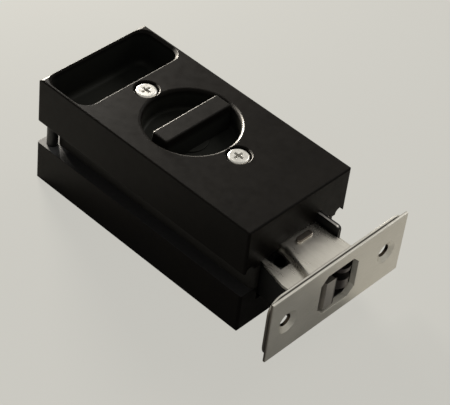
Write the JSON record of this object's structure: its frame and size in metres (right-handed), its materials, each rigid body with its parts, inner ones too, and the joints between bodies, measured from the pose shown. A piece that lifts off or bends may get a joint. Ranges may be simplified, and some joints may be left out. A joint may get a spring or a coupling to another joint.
{
  "type": "sliding door lock",
  "caption": "Block lock for a sliding door: finger pulls, a thumb turn in a round cup and a hook bolt that swings out of a flanged faceplate on a short latch case.",
  "frame": {"origin": "middle of the footprint, on the outer face of the far side shell", "axes": "+X from the finger pull end to the faceplate, +Y along the faceplate, +Z through the door's thickness to the room side face with the thumb turn"},
  "size_m": [0.1038, 0.057, 0.0402],
  "materials": {
    "shell_black": "matte black powder coat on die cast zinc",
    "core_black": "flat black",
    "post_black": "blackened steel",
    "bracket_black": "satin black sheet steel",
    "tray_black": "blackened sheet steel",
    "screw_steel": "bright nickel plate",
    "zinc_steel": "zinc plate",
    "spring_steel": "oiled spring steel",
    "hook_steel": "satin nickel plate",
    "case_steel": "satin nickel plated sheet",
    "faceplate_nickel": "satin nickel, fine brush marks along its length"
  },
  "bodies": {
    "lock_body": {"inner_shell": "shell_black", "outer_shell": "shell_black", "core_frame": "core_black", "locating_posts": "post_black", "clamp_screws": "screw_steel", "threaded_posts": "zinc_steel", "inner_turn_washer": "spring_steel", "outer_turn_washer": "spring_steel", "latch_case_lid": "case_steel", "latch_case_tray": "tray_black", "case_rivets": "case_steel", "case_bracket": "bracket_black", "faceplate_front": "faceplate_nickel", "faceplate_rear": "faceplate_nickel"},
    "turn": {"thumb_turn": "shell_black", "release_turn": "shell_black", "turn_spindle": "zinc_steel", "inner_turn_clip": "spring_steel", "outer_turn_clip": "spring_steel", "turn_hub": "zinc_steel", "crank_pin": "zinc_steel"},
    "drive_bar": {"drive_bar": "zinc_steel"},
    "hook": {"hook_bolt": "hook_steel", "hook_drive_pin": "zinc_steel"}
  },
  "joints": [
    {"name": "thumb_turn_spin", "type": "hinge", "parent": "lock_body", "child": "turn", "pos_m": [-0.009, 0, 0.0389], "axis": [0, 0, 1], "range_deg": [0, 90]},
    {"name": "drive_bar_slide", "type": "slide", "parent": "lock_body", "child": "drive_bar", "axis": [1, 0, 0], "range_m": [0, 0.01091]},
    {"name": "hook_swing", "type": "hinge", "parent": "lock_body", "child": "hook", "pos_m": [0.0475, 0.0054, 0.018], "axis": [0, 0, 1], "range_deg": [0, 80.01]}
  ],
  "couplings": [
    {"joint": "drive_bar_slide", "follows": "thumb_turn_spin", "m_per_rad": 0.0069445},
    {"joint": "hook_swing", "follows": "thumb_turn_spin", "ratio": 0.88889}
  ]
}
